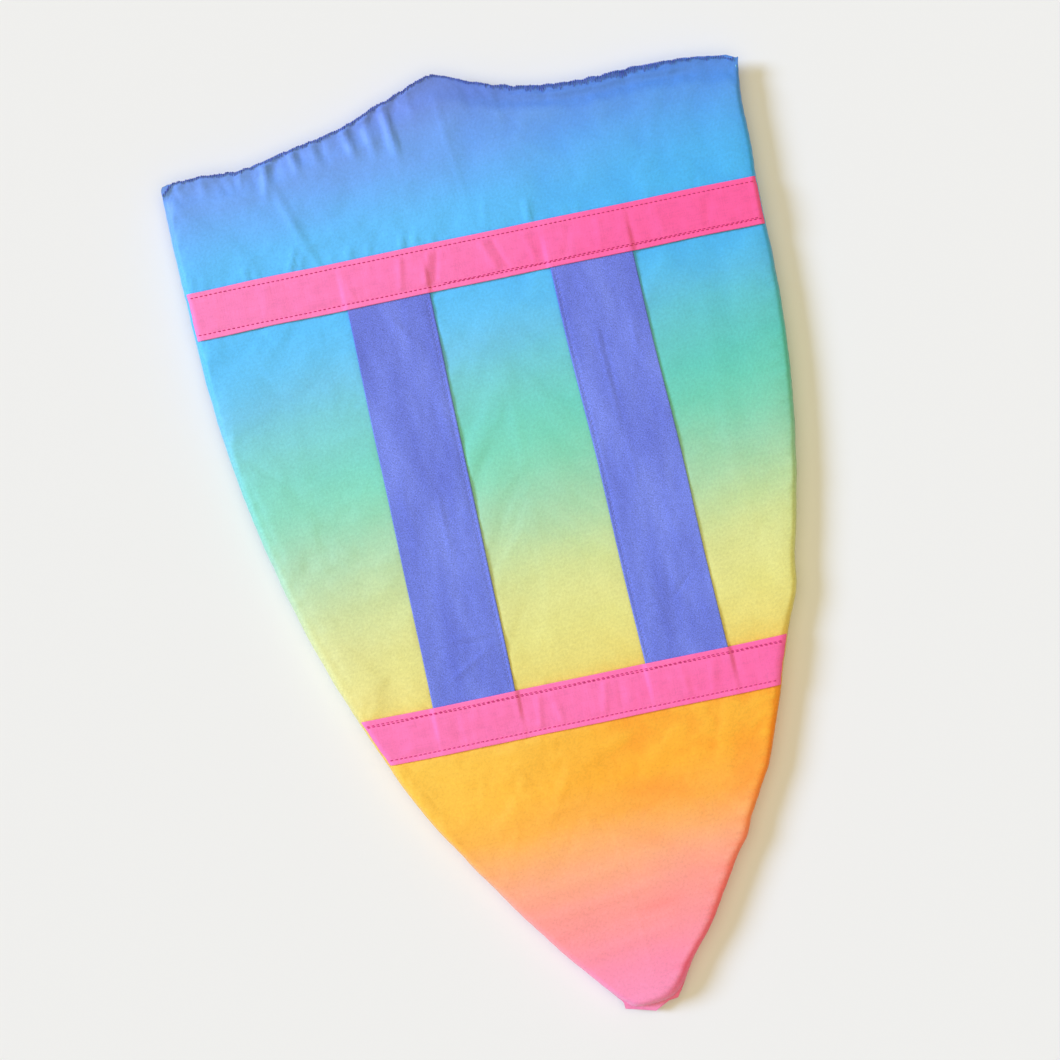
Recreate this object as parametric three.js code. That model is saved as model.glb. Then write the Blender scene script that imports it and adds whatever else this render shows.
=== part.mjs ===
// A child's soft play shield: a foam board in a sewn silk cover, with two cotton bands across its back
// and two fabric arm straps between them. It lies on its front face, back upwards.
// Millimetres, +Z up, +Y towards the top of the shield. The origin is under the middle of its box.

import * as THREE from "three";

// Outline of the sewn cover, seen from above.
const HALF_WIDTH = 161.6; // at the straight sides
const CORNER_FLARE = 2.4; // how far the top corners stand out past the sides
const FLARE_LENGTH = 32; // length of side that the flare takes
const PEAK_HEIGHT = 24.8; // the centre peak above the shoulders of the top edge
const PEAK_SPREAD = 45.5; // how far the peak reaches to each side
const PEAK_SHARPNESS = 1.3; // 1 is a point, 2 a bell
const CORNER_DROOP = 4; // the last stretch of the top edge drops this far
const DROOP_LENGTH = 24;
const STRAIGHT_DROP = 120; // from the peak down to where the sides begin to curve
const SIDE_RADIUS = 640; // of each curved side
const TIP_RADIUS = 20; // of the blunt tip

// Thickness, from the front face at z = 0 to the back face.
const HALF_THICKNESS = 6.8; // the seam lies at this height
const GAP = 0.3; // between two layers that touch
const LAY_GAP = 0.1; // under a thread that lies on a layer

// Bands, sewn across the back panel.
const BAND_WIDTH = 26.8;
const BAND_THICKNESS = 0.8;
const BAND_TILT = THREE.MathUtils.degToRad(-1.8); // both run down to the right a little
const UPPER_BAND_DROP = 105.3; // from the peak to a band's centre line
const LOWER_BAND_DROP = 357;
const BAND_END = 0.6; // how far inside the seam a band ends
const BAND_ROWS = 4; // facets across a band

// Arm straps, whose ends are held under the bands.
const STRAP_WIDTH = 46.5;
const STRAP_THICKNESS = 1.0;
const STRAP_TUCK = 20; // length of strap under a band
const STRAPS = {
  left: { upperX: -52.1, lowerX: -57.7, stitchSide: 1 },
  right: { upperX: 62.4, lowerX: 62.1, stitchSide: -1 },
};
const END_STICKS_OUT = 0.7; // the held end stops this far past the band's edge
const HINGE_CLEARANCE = 1.5; // from the band's edge to the swinging length
const LEG_LENGTH = 72; // each swinging length
const MIDDLE_CLEARANCE = 0.6; // between a swinging length and the middle

// Threads.
const THREAD_WIDTH = 0.5;
const THREAD_HEIGHT = 0.3;
const BAND_STITCH_INSET = 3; // from a band's edge to its stitching
const SECOND_ROW_OFFSET = 1; // between the two rows of a doubled line
const SECOND_ROW_START = -20; // where the upper band's doubled line begins
const STRAP_STITCH_INSET = 2.2;

// Facets round the outline.
const TOP_STEPS = 16;
const STRAIGHT_STEPS = 4;
const CURVE_STEPS = 24;
const TIP_STEPS = 5;

// Sections through the cover's edge, as [distance in from the outline, height above the seam].
// Each one runs from the outer face round the edge to the inner face.
const SIDE_SECTION = [
  [8.5, 6.8], [5.0, 6.1], [2.2, 4.2], [0.5, 1.6], [0.0, 0.15], // outer face, down to the seam
  [5.0, 0.15], [5.0, 0.65], [0.75, 0.65], // the seam allowance, turned in
  [1.05, 1.5], [2.6, 3.8], [5.2, 5.55], [8.5, 6.3], // inner face
];
const TOP_SECTION = [
  [12.0, 6.8], [9.5, 6.2], [7.2, 4.3], [4.8, 0.65], [0.8, 0.65], // outer face, down to a flat lip
  [0.8, 0.15], [4.95, 0.15], [6.3, 2.05], // the lip's edge and underside
  [7.6, 4.0], [9.8, 5.72], [10.8, 6.05], [12.0, 6.3], // inner face
];
const FOAM_SIDE = [[10, 6], [7.4, 5.5], [6.2, 4.2], [6.2, -4.2], [7.4, -5.5], [10, -6]];
const FOAM_TOP = [[14, 6], [11.8, 5.5], [10.6, 4.2], [10.6, -4.2], [11.8, -5.5], [14, -6]];
// The overlock is a channel round the lip, and the seam thread lies behind the turned-in allowance.
const OVERLOCK_SECTION = [
  [0, -1.0], [0, 1.0], [0.4, 1.35], [3.2, 1.35], [3.2, 0.95],
  [0.5, 0.95], [0.5, -0.95], [3.2, -0.95], [3.2, -1.35], [0.4, -1.35],
];
const SEAM_THREAD_SECTION = [[1.9, 0.95], [1.9, 1.35], [2.3, 1.35], [2.3, 0.95]];

// Places that follow from those.
const SIDE_CENTRE_X = HALF_WIDTH - SIDE_RADIUS;
const TIP_CENTRE_DROP = Math.sqrt((SIDE_RADIUS - TIP_RADIUS) ** 2 - SIDE_CENTRE_X ** 2);
const LENGTH = STRAIGHT_DROP + TIP_CENTRE_DROP + TIP_RADIUS;
const PEAK_Y = LENGTH / 2;
const CURVE_Y = PEAK_Y - STRAIGHT_DROP;
const TIP_CENTRE_Y = CURVE_Y - TIP_CENTRE_DROP;
const CURVE_END_ANGLE = Math.atan2(TIP_CENTRE_DROP, -SIDE_CENTRE_X);
const CORNER_X = HALF_WIDTH + CORNER_FLARE;
const BACK_Z = 2 * HALF_THICKNESS;
const HALF_POINTS = TOP_STEPS + STRAIGHT_STEPS + CURVE_STEPS + TIP_STEPS;

// Height of the top edge at x.
function topEdge(x) {
  const peak = PEAK_HEIGHT * (1 - Math.exp(-((Math.abs(x) / PEAK_SPREAD) ** PEAK_SHARPNESS)));
  const pastDroop = Math.max(0, Math.abs(x) - (CORNER_X - DROOP_LENGTH)) / DROOP_LENGTH;
  return PEAK_Y - peak - CORNER_DROOP * pastDroop ** 2;
}

// The side's half width at y, above the curve.
function straightSide(y) {
  const cornerY = topEdge(CORNER_X);
  const pastFlare = Math.max(0, y - (cornerY - FLARE_LENGTH)) / FLARE_LENGTH;
  return HALF_WIDTH + CORNER_FLARE * pastFlare ** 2;
}

// The outline drawn in by inset, anticlockwise from the peak. Every inset gives as many points.
const outlines = new Map();
function outline(inset) {
  if (outlines.has(inset)) return outlines.get(inset);
  const half = [];
  const cornerX = CORNER_X - inset;
  for (let i = 0; i <= TOP_STEPS; i++) {
    const x = (cornerX * i) / TOP_STEPS;
    half.push([x, topEdge(x) - inset]);
  }
  const cornerY = half[TOP_STEPS][1];
  for (let i = 1; i <= STRAIGHT_STEPS; i++) {
    const y = THREE.MathUtils.lerp(cornerY, CURVE_Y, i / STRAIGHT_STEPS);
    half.push([straightSide(y) - inset, y]);
  }
  for (let i = 1; i <= CURVE_STEPS; i++) {
    const angle = (CURVE_END_ANGLE * i) / CURVE_STEPS;
    const radius = SIDE_RADIUS - inset;
    half.push([SIDE_CENTRE_X + radius * Math.cos(angle), CURVE_Y - radius * Math.sin(angle)]);
  }
  for (let i = 1; i <= TIP_STEPS; i++) {
    const angle = THREE.MathUtils.lerp(CURVE_END_ANGLE, Math.PI / 2, i / TIP_STEPS);
    const radius = TIP_RADIUS - inset;
    half.push([radius * Math.cos(angle), TIP_CENTRE_Y - radius * Math.sin(angle)]);
  }
  const left = half.map(([x, y]) => new THREE.Vector2(-x, y));
  const right = half.slice(1, -1).reverse().map(([x, y]) => new THREE.Vector2(x, y));
  outlines.set(inset, [...left, ...right]);
  return outlines.get(inset);
}

// True for the outline's points along the top edge, corners included.
function isOnTop(index) {
  return Math.min(index, 2 * HALF_POINTS - index) <= TOP_STEPS;
}

// How far a point is inside the nearer side of the outline, below the corners.
function insetAt(x, y) {
  if (y > CURVE_Y) return HALF_WIDTH - Math.abs(x);
  return SIDE_RADIUS - Math.hypot(Math.abs(x) - SIDE_CENTRE_X, y - CURVE_Y);
}

// Height of the back panel's outer face that far inside the side seam.
function backHeight(inset) {
  const face = SIDE_SECTION.slice(0, 5).reverse();
  if (inset >= face.at(-1)[0]) return BACK_Z;
  const next = face.findIndex(([d]) => d > inset);
  const [[d0, h0], [d1, h1]] = [face[next - 1], face[next]];
  return HALF_THICKNESS + THREE.MathUtils.mapLinear(inset, d0, d1, h0, h1);
}

// Triangles that fill a ring, wound as the ring's points run.
function capTriangles(shape) {
  const triangles = THREE.ShapeUtils.triangulateShape(shape, []);
  return THREE.ShapeUtils.isClockWise(shape) ? triangles.map(([a, b, c]) => [a, c, b]) : triangles;
}

// One closed body through a row of rings, with the ends filled from their flat shapes.
function loft(rings, firstShape, lastShape = firstShape) {
  const count = rings[0].length;
  const faces = capTriangles(firstShape);
  for (let r = 0; r + 1 < rings.length; r++) {
    for (let j = 0; j < count; j++) {
      const here = r * count + j;
      const beside = r * count + ((j + 1) % count);
      faces.push([here, here + count, beside + count], [here, beside + count, beside]);
    }
  }
  const lastStart = (rings.length - 1) * count;
  for (const [a, b, c] of capTriangles(lastShape)) {
    faces.push([lastStart + a, lastStart + c, lastStart + b]);
  }
  const points = rings.flat();
  const volume = faces.reduce(
    (sum, [a, b, c]) => sum + points[a].dot(points[b].clone().cross(points[c])),
    0,
  );
  if (volume < 0) faces.forEach((face) => face.reverse());
  const geometry = new THREE.BufferGeometry().setFromPoints(points).setIndex(faces.flat());
  geometry.computeVertexNormals();
  return geometry;
}

// A body with the same section all round the outline, apart from the top edge's own section.
function aroundOutline(side, top, zOf) {
  const rings = side.map((_, r) =>
    outline(0).map((_, k) => {
      const [inset, height] = isOnTop(k) ? top[r] : side[r];
      const point = outline(inset)[k];
      return new THREE.Vector3(point.x, point.y, zOf(height));
    }),
  );
  const flat = (ring) => ring.map((p) => new THREE.Vector2(p.x, p.y));
  return loft(rings, flat(rings[0]), flat(rings.at(-1)));
}

// A section swept along a stretch of the outline, given by its points' indices.
function alongOutline(section, indices) {
  const rings = indices.map((k) =>
    section.map(([inset, height]) => {
      const point = outline(inset)[k];
      return new THREE.Vector3(point.x, point.y, HALF_THICKNESS + height);
    }),
  );
  return loft(rings, section.map(([inset, height]) => new THREE.Vector2(inset, height)));
}

// A band's place: its centre line crosses the shield's axis that far below the peak.
function bandAt(drop) {
  const along = new THREE.Vector2(Math.cos(BAND_TILT), Math.sin(BAND_TILT));
  const across = new THREE.Vector2(-along.y, along.x);
  const centre = new THREE.Vector2(0, PEAK_Y - drop);
  const point = (s, q) => centre.clone().addScaledVector(along, s).addScaledVector(across, q);
  return { centre, along, across, point };
}

const upperBand = bandAt(UPPER_BAND_DROP);
const lowerBand = bandAt(LOWER_BAND_DROP);

// A strap's frame: the middle of its free length, its turn about +Z, and half its free length.
function strapAt({ upperX, lowerX }) {
  const edgeAt = (band, x, q) => band.point((x - band.across.x * q) / band.along.x, q);
  const upper = edgeAt(upperBand, upperX, -BAND_WIDTH / 2);
  const lower = edgeAt(lowerBand, lowerX, BAND_WIDTH / 2);
  const middle = upper.clone().add(lower).multiplyScalar(0.5);
  const turn = Math.atan2(-(upper.x - lower.x), upper.y - lower.y);
  return { upper, lower, middle, turn, halfLength: upper.distanceTo(lower) / 2 };
}

// Where a line along a band, q from its centre line, is a given inset from the side seam.
function reachOf(band, q, inset, side) {
  let inside = 0;
  let outside = side * 2 * HALF_WIDTH;
  for (let i = 0; i < 40; i++) {
    const s = (inside + outside) / 2;
    const p = band.point(s, q);
    if (insetAt(p.x, p.y) > inset) inside = s;
    else outside = s;
  }
  return inside;
}

// Columns along a band: the breaks in the cover's edge at each end, and the steps over the straps' ends.
const STEP_INNER = STRAP_WIDTH / 2 + 1;
const STEP_OUTER = STRAP_WIDTH / 2 + 2.5;
const STRAP_STEP = STRAP_THICKNESS + GAP;

function bandColumns(band, end, edge, from = -Infinity) {
  const breaks = SIDE_SECTION.slice(0, 5).map(([inset]) => inset).filter((inset) => inset > end);
  const ends = (side) => [...breaks, end].map((inset) => ({ inset, side, lift: 0 }));
  const steps = Object.values(STRAPS).flatMap((strap) => {
    const s = strapAt(strap)[edge].clone().sub(band.centre).dot(band.along);
    return [
      { s: s - STEP_OUTER, lift: 0 }, { s: s - STEP_INNER, lift: STRAP_STEP },
      { s: s + STEP_INNER, lift: STRAP_STEP }, { s: s + STEP_OUTER, lift: 0 },
    ];
  });
  if (from === -Infinity) return [...ends(-1).reverse(), ...steps, ...ends(1)];
  return [{ s: from, lift: 0 }, ...steps.filter(({ s }) => s > from), ...ends(1)];
}

// A flat strip laid over the back panel along a band, from q0 to q1 across it and base above the panel.
function laidStrip(band, columns, q0, q1, rows, base, thickness) {
  const across = Array.from({ length: rows + 1 }, (_, i) => THREE.MathUtils.lerp(q0, q1, i / rows));
  const rings = columns.map(({ s, inset, side, lift }) => {
    const bottom = across.map((q) => {
      const p = band.point(s ?? reachOf(band, q, inset, side), q);
      return new THREE.Vector3(p.x, p.y, backHeight(insetAt(p.x, p.y)) + base + lift);
    });
    const top = bottom.map((p) => p.clone().setZ(p.z + thickness)).reverse();
    return [...bottom, ...top];
  });
  const shape = [...across.map((q) => [q, 0]), ...across.map((q) => [q, thickness]).reverse()];
  return loft(rings, shape.map(([q, z]) => new THREE.Vector2(q, z)));
}

function stitchRow(band, columns, q) {
  const base = GAP + BAND_THICKNESS + LAY_GAP;
  return laidStrip(band, columns, q - THREAD_WIDTH / 2, q + THREAD_WIDTH / 2, 1, base, THREAD_HEIGHT);
}

// A length of strap from y0 to y1, with rounded long edges, standing on z = 0.
function strapLength(width, thickness, y0, y1) {
  const radius = thickness / 2;
  const section = new THREE.Shape();
  section.moveTo(-width / 2 + radius, 0);
  section.lineTo(width / 2 - radius, 0);
  section.absarc(width / 2 - radius, radius, radius, -Math.PI / 2, Math.PI / 2);
  section.lineTo(-width / 2 + radius, thickness);
  section.absarc(-width / 2 + radius, radius, radius, Math.PI / 2, (3 * Math.PI) / 2);
  const options = { depth: y1 - y0, bevelEnabled: false, curveSegments: 4 };
  return new THREE.ExtrudeGeometry(section, options).rotateX(Math.PI / 2).translate(0, y1, 0);
}

const part = new THREE.Group();

function add(parent, name, geometry, color, roughness) {
  const material = new THREE.MeshStandardMaterial({ color, roughness, metalness: 0 });
  const mesh = new THREE.Mesh(geometry, material);
  mesh.name = name;
  parent.add(mesh);
}

const COLOURS = {
  foam: 0xf2efe4,
  silk: 0x57b8e6,
  band: 0xff5fa2,
  bandThread: 0xd81f68,
  strap: 0x6b69cf,
  strapThread: 0x4d49ad,
  overlock: 0x2f3d9e,
};

function addBody() {
  const foam = aroundOutline(FOAM_SIDE, FOAM_TOP, (h) => HALF_THICKNESS + h);
  const panel = (sign) => aroundOutline(SIDE_SECTION, TOP_SECTION, (h) => HALF_THICKNESS + sign * h);
  add(part, "foam_core", foam, COLOURS.foam, 0.95);
  add(part, "front_panel", panel(-1), COLOURS.silk, 0.5);
  add(part, "back_panel", panel(1), COLOURS.silk, 0.5);
}

function addCoverThreads() {
  const all = outline(0).map((_, k) => k);
  const topRow = [...all.slice(-TOP_STEPS), ...all.slice(0, TOP_STEPS + 1)];
  const sideRow = all.filter((k) => !isOnTop(k));
  add(part, "top_overlock", alongOutline(OVERLOCK_SECTION, topRow), COLOURS.overlock, 0.8);
  add(part, "side_seam_thread", alongOutline(SEAM_THREAD_SECTION, sideRow), COLOURS.silk, 0.8);
}

function addBand(name, band, edge) {
  const half = BAND_WIDTH / 2;
  const wholeWidth = bandColumns(band, BAND_END, edge);
  const cloth = laidStrip(band, wholeWidth, -half, half, BAND_ROWS, GAP, BAND_THICKNESS);
  add(part, name, cloth, COLOURS.band, 0.8);
  const rows = { top: half - BAND_STITCH_INSET, bottom: BAND_STITCH_INSET - half };
  const columns = bandColumns(band, 2 * BAND_END, edge);
  for (const [row, q] of Object.entries(rows)) {
    add(part, `${name}_${row}_stitch`, stitchRow(band, columns, q), COLOURS.bandThread, 0.8);
  }
  // The row nearest the straps is doubled: all along the lower band, and on the right of the upper one.
  const isUpper = band === upperBand;
  const doubled = isUpper ? rows.bottom + SECOND_ROW_OFFSET : rows.top - SECOND_ROW_OFFSET;
  const length = isUpper ? bandColumns(band, 2 * BAND_END, edge, SECOND_ROW_START) : columns;
  add(part, `${name}_second_stitch`, stitchRow(band, length, doubled), COLOURS.bandThread, 0.8);
}

function addStrap(name, strap) {
  const { middle, turn, halfLength } = strapAt(strap);
  const group = new THREE.Group();
  group.position.set(middle.x, middle.y, BACK_Z + GAP);
  group.rotation.z = turn;
  part.add(group);
  const hinge = halfLength - HINGE_CLEARANCE;
  const legEnd = hinge - LEG_LENGTH;
  const middleEnd = legEnd - MIDDLE_CLEARANCE;
  const held = [halfLength - END_STICKS_OUT, halfLength + STRAP_TUCK];
  const lengths = {
    upper_end: held,
    upper_leg: [legEnd, hinge],
    middle: [-middleEnd, middleEnd],
    lower_leg: [-hinge, -legEnd],
    lower_end: [-held[1], -held[0]],
  };
  const stitchX = strap.stitchSide * (STRAP_WIDTH / 2 - STRAP_STITCH_INSET);
  for (const [length, [y0, y1]] of Object.entries(lengths)) {
    const cloth = strapLength(STRAP_WIDTH, STRAP_THICKNESS, y0, y1);
    add(group, `${name}_strap_${length}`, cloth, COLOURS.strap, 0.9);
    if (length.endsWith("end")) continue;
    const thread = new THREE.BoxGeometry(THREAD_WIDTH, y1 - y0, THREAD_HEIGHT);
    thread.translate(stitchX, (y0 + y1) / 2, STRAP_THICKNESS + LAY_GAP + THREAD_HEIGHT / 2);
    add(group, `${name}_strap_${length}_stitch`, thread, COLOURS.strapThread, 0.9);
  }
}

addBody();
addCoverThreads();
addBand("upper_band", upperBand, "upper");
addBand("lower_band", lowerBand, "lower");
for (const [name, strap] of Object.entries(STRAPS)) addStrap(name, strap);

export default part;
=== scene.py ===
import math

import bpy
import numpy as np
from mathutils import Matrix, Vector


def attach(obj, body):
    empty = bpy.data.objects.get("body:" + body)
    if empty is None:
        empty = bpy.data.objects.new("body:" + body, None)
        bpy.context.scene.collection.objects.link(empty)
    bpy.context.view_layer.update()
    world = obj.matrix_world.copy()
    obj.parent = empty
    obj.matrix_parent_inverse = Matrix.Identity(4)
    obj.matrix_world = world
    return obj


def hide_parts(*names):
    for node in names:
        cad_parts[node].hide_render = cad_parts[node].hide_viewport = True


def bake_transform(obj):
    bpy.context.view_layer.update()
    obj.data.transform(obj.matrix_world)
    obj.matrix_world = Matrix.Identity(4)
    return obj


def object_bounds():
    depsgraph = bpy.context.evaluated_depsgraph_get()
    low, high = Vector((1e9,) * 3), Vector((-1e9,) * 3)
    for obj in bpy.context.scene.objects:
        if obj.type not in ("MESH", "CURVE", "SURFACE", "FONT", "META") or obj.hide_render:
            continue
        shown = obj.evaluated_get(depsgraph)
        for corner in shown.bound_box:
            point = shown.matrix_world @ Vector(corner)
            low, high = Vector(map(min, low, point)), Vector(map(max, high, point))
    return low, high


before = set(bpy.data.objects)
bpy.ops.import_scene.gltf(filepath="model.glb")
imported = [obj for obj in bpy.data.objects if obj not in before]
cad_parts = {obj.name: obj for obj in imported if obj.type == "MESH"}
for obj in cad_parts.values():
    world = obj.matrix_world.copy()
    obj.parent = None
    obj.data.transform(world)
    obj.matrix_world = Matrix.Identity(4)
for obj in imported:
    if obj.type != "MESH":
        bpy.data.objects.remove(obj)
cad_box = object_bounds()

# A child's soft play shield, lying on its front face with its back and arm straps upwards.
# The shapes are worked out in millimetres in the part's own frame, and become metres in add_mesh.
# A pair has the left side's value under -1 and the right side's under 1. Drops go down from the peak.
MM = 0.001

# Cover outline, seen from the back with the tip towards -Y.
HALF_WIDTH = 161.6  # at the straight sides
CORNERS = {-1: 160.0, 1: 168.0}  # half width at the top corners
FLARE_DROP, FLARE_LENGTH = 62.0, 34.0  # where the sides begin to flare to the top corners
PEAK_HEIGHT = 24.2  # the centre peak above the shoulders
PEAK_SPREAD = {-1: 46.9, 1: 37.4}
PEAK_SHARPNESS = {-1: 1.41, 1: 1.23}
PEAK_ROUNDING = 1.6
PEAK_SHIFT = -0.4
CORNER_DROOP = {-1: 2.1, 1: 5.5}
DROOP_LENGTH = 35.0
CORNER_CUT = {-1: 0.9, 1: 0.1}  # slope of the top edge's last stretch
CUT_START = 155
STRAIGHT_DROP = 120.0  # where the sides begin to curve
SIDE_RADIUS = 640.0
SIDE_CENTRE_X = HALF_WIDTH - SIDE_RADIUS
TIP_CORNERS = [(-16.4, 5.0), (-0.4, 0.1), (8.0, 4.1), (13.4, 4.7)]  # x, and height above the lowest point

# The outline's unevenness. A bump has a place, half width and height; a wave has a size, wavelength and seed.
TOP_BUMPS = [(110, 24, 1.6), (-114, 19.5, -3.2), (-36, 9, 1.2)]
TOP_WAVES = [(0.45, 10, 11), (0.24, 3.8, 12)]
LEFT_BUMPS = [(396, 32, 2.0), (320, 60, 0.7)]
RIGHT_BUMPS = [(511, 11, -2.1), (66, 30, 2.8), (325, 12, 2.4), (450, 7, 2.6)]
SIDE_WAVES = [(0.22, 21, 13), (0.1, 6, 14)]
BLUNT_CORNER = (417, 55, 32, 3.4)  # low on the right: drop, length above, length below, height
TIP_EAR = (529.4, 4, 3.0)  # at the tip's left corner: drop, length, height

# Cover section.
THICKNESS = 13.6
SEAM_Z = 9.2  # the panels' seam is rolled towards the back
TIP_SEAM_Z = 4.6
TOP_SEAM_Z = 12.0
TIP_SINK_START, TIP_SINK_LENGTH = 46, 40  # height above the tip where the seam begins to sink
SHOULDER = 3.4  # width of the rounded edge from the seam to the flat back
LOW_SHOULDER = 5.8  # the same low down on the right, where the foam is narrower than the cover
LOOSE_DROP, LOOSE_LENGTH = 310, 60  # where that begins
LOOSE_RISE = 1.6  # how much higher the seam lies there
FRONT_RADIUS = 5.0  # sideways radius of the front panel's rounded edge
FRONT_WRAP = 8.0  # width of the silk that goes round it
SEAM_ROLL = {-1: 1.3, 1: 0.5}  # how far the front panel stands out beyond the seam
ROLL_START, ROLL_LENGTH = 8, 30  # height above the tip where that begins
TOP_LIP = 2.2  # flat edge beyond the foam at the top
TOP_SLOPE = 15.0
SKIRT = 4.2  # empty cover beyond the foam's rounded tip
FOAM_ROUNDING = 3.6
SILK = 0.3  # thickness of the panels
DEEPEST = 0.6  # how far a hollow goes before the silk rests on the foam
EDGE_CALM = 2.5  # width of the edge in which wrinkles fade away

# Bands and straps.
BAND_WIDTH = 26.8
BAND_THICKNESS = 0.8
BAND_TILT = math.radians(-1.8)
BAND_DROPS = {"upper_band": 105.3, "lower_band": 357.0}
BAND_GAP = 0.2
BAND_INSET = 0.6  # how far inside the side seams the bands end
BAND_PRESS = 1.2  # how far beside a band the silk is pressed down
STRAP_WIDTH = 46.5
STRAP_THICKNESS = 1.0
STRAP_GAP = 0.12
STRAP_TUCK = 20.0
STRAP_PRESS = 1.4
# Each strap's x at the upper and the lower band, its stitched edge and its seed.
STRAPS = {"left": (-52.1, -57.7, 1, 71), "right": (62.4, 62.1, -1, 81)}
FACE_LIFT = 0.02  # keeps a strip's two faces apart where its edge is rounded away

# Sewing.
STITCH_PITCH = 2.7
STITCH_LENGTH = 1.95
STITCH_SINK = 0.28  # how deep a stitch's ends go down
STITCH_END = 1.5  # how far inside the side seams a row ends
THREAD_RADIUS = 0.3
THREAD_SIDES = 6
STRAP_THREAD_RADIUS = 0.2
STRAP_STITCH_INSET = 2.2
BAND_ROW = BAND_WIDTH / 2 - 2.9  # the bands' rows lie this far above and below their middle
SECOND_ROW_OFFSET = 0.75
# Each band's second row: its place across the band and its start along it.
SECOND_ROWS = {
    "upper_band": (SECOND_ROW_OFFSET - BAND_ROW, -20.0),
    "lower_band": (BAND_ROW - SECOND_ROW_OFFSET, -HALF_WIDTH),
}
BAND_SEEDS = {"upper_band": 101, "lower_band": 111}

PEAK_Y = cad_box[1].y / MM
TIP_Y = cad_box[0].y / MM
CURVE_Y = PEAK_Y - STRAIGHT_DROP
TOP_EDGE_Y = PEAK_Y - 0.7  # the overlock thread reaches a little further than the cover


# ---- curves

def bell(value, centre, width):
    return np.exp(-(((value - centre) / width) ** 2))


def bumps(value, rows):
    """The sum of bells, each with its place, half width and height."""
    return sum(height * bell(value, place, width) for place, width, height in rows)


def smooth_step(value, low, high):
    t = np.clip((value - low) / (high - low), 0, 1)
    return t * t * (3 - 2 * t)


def window(value, start, full, fade, end):
    """Rises from 0 at start to 1 at full, and falls from 1 at fade to 0 at end."""
    return smooth_step(value, start, full) * smooth_step(end - value, 0, end - fade)


def fading(distance, length):
    """1 up to a distance of 0, and less and less beyond it."""
    return np.exp(-np.clip(distance, 0, None) / length)


def rounded(distance, width):
    """A quarter-round shoulder: 0 at the edge, 1 past its width."""
    left = 1 - np.clip(distance / width, 0, 1)
    return np.sqrt(1 - left**2)


def of_side(pair, left):
    """The left or the right value of a pair."""
    return np.where(left, pair[-1], pair[1])


WAVES = 7  # sines in a ripple
RIPPLE_GAIN = 1.8


def ripple(x, y, wavelength, seed):
    """A smooth random wave pattern, roughly between -1 and 1."""
    random = np.random.default_rng(seed)
    total = 0
    for _ in range(WAVES):
        turn, phase = random.uniform(0, 2 * math.pi, 2)
        length = wavelength * random.uniform(0.7, 1.5)
        total = total + np.sin(2 * math.pi * (x * math.cos(turn) + y * math.sin(turn)) / length + phase)
    return total / WAVES * RIPPLE_GAIN


def ripples(x, y, rows, first_seed=0):
    """The sum of ripples, each with its size, stretch along x and y, wavelength and seed."""
    return sum(size * ripple(a * x, b * y, wave, first_seed + seed) for size, a, b, wave, seed in rows)


def row_ripple(s, wavelength, seed):
    """A ripple along a line."""
    random = np.random.default_rng(seed)
    total = 0
    for _ in range(WAVES):
        length, phase = wavelength * random.uniform(0.7, 1.5), random.uniform(0, 2 * math.pi)
        total = total + np.sin(2 * math.pi * s / length + phase)
    return total / WAVES * RIPPLE_GAIN


def waves(s, rows):
    """The sum of ripples along a line, each with its size, wavelength and seed."""
    return sum(size * row_ripple(s, wavelength, seed) for size, wavelength, seed in rows)


# ---- outline and heights, in millimetres

def top_line(x):
    """Height of the top edge at x."""
    ax = np.abs(x)
    left = x < PEAK_SHIFT
    from_peak = (np.hypot(x - PEAK_SHIFT, PEAK_ROUNDING) - PEAK_ROUNDING) / of_side(PEAK_SPREAD, left)
    peak = PEAK_HEIGHT * (1 - np.exp(-(from_peak ** of_side(PEAK_SHARPNESS, left))))
    droop_start = CORNERS[1] - DROOP_LENGTH
    droop = of_side(CORNER_DROOP, left) * (np.clip(ax - droop_start, 0, None) / DROOP_LENGTH) ** 1.5
    cut = of_side(CORNER_CUT, left) * np.clip(ax - CUT_START, 0, None)
    return TOP_EDGE_Y - peak - droop + bumps(x, TOP_BUMPS) - cut + waves(x, TOP_WAVES)


def bottom_line(x):
    """The blunt tip's lower edge."""
    xs, rises = zip(*TIP_CORNERS)
    return TIP_Y + np.interp(x, xs, rises)


def side_line(y, side):
    """Half width of the outline at y, on the left (-1) or right (+1)."""
    drop = PEAK_Y - y
    curve = SIDE_CENTRE_X + np.sqrt(SIDE_RADIUS**2 - np.clip(drop - STRAIGHT_DROP, 0, None) ** 2)
    corner = of_side(CORNERS, side < 0) - HALF_WIDTH
    flare = corner * np.clip((FLARE_DROP - drop) / FLARE_LENGTH, 0, 1.1) ** 1.5
    place, above, below, height = BLUNT_CORNER
    away = np.where(drop < place, (place - drop) / above, (drop - place) / below)
    right = height * np.clip(1 - away, 0, 1) + bumps(drop, RIGHT_BUMPS)
    place, length, height = TIP_EAR
    left = height * np.clip(1 - (place - drop) / length, 0, 1) + bumps(drop, LEFT_BUMPS)
    return curve + flare + waves(y, SIDE_WAVES) + np.where(side > 0, right, left)


def seam_line(y, side):
    """Half width of the back panel, up to its seam."""
    roll = of_side(SEAM_ROLL, side < 0)
    return side_line(y, side) - roll * np.clip((y - TIP_Y - ROLL_START) / ROLL_LENGTH, 0, 1)


def slant(y):
    """The share of a distance along x that is square to the curved sides."""
    return np.sqrt(SIDE_RADIUS**2 - np.clip(CURVE_Y - y, 0, None) ** 2) / SIDE_RADIUS


def side_inset(x, y):
    """How far inside the nearer side seam."""
    return (seam_line(y, np.sign(x)) - np.abs(x)) * slant(y)


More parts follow.
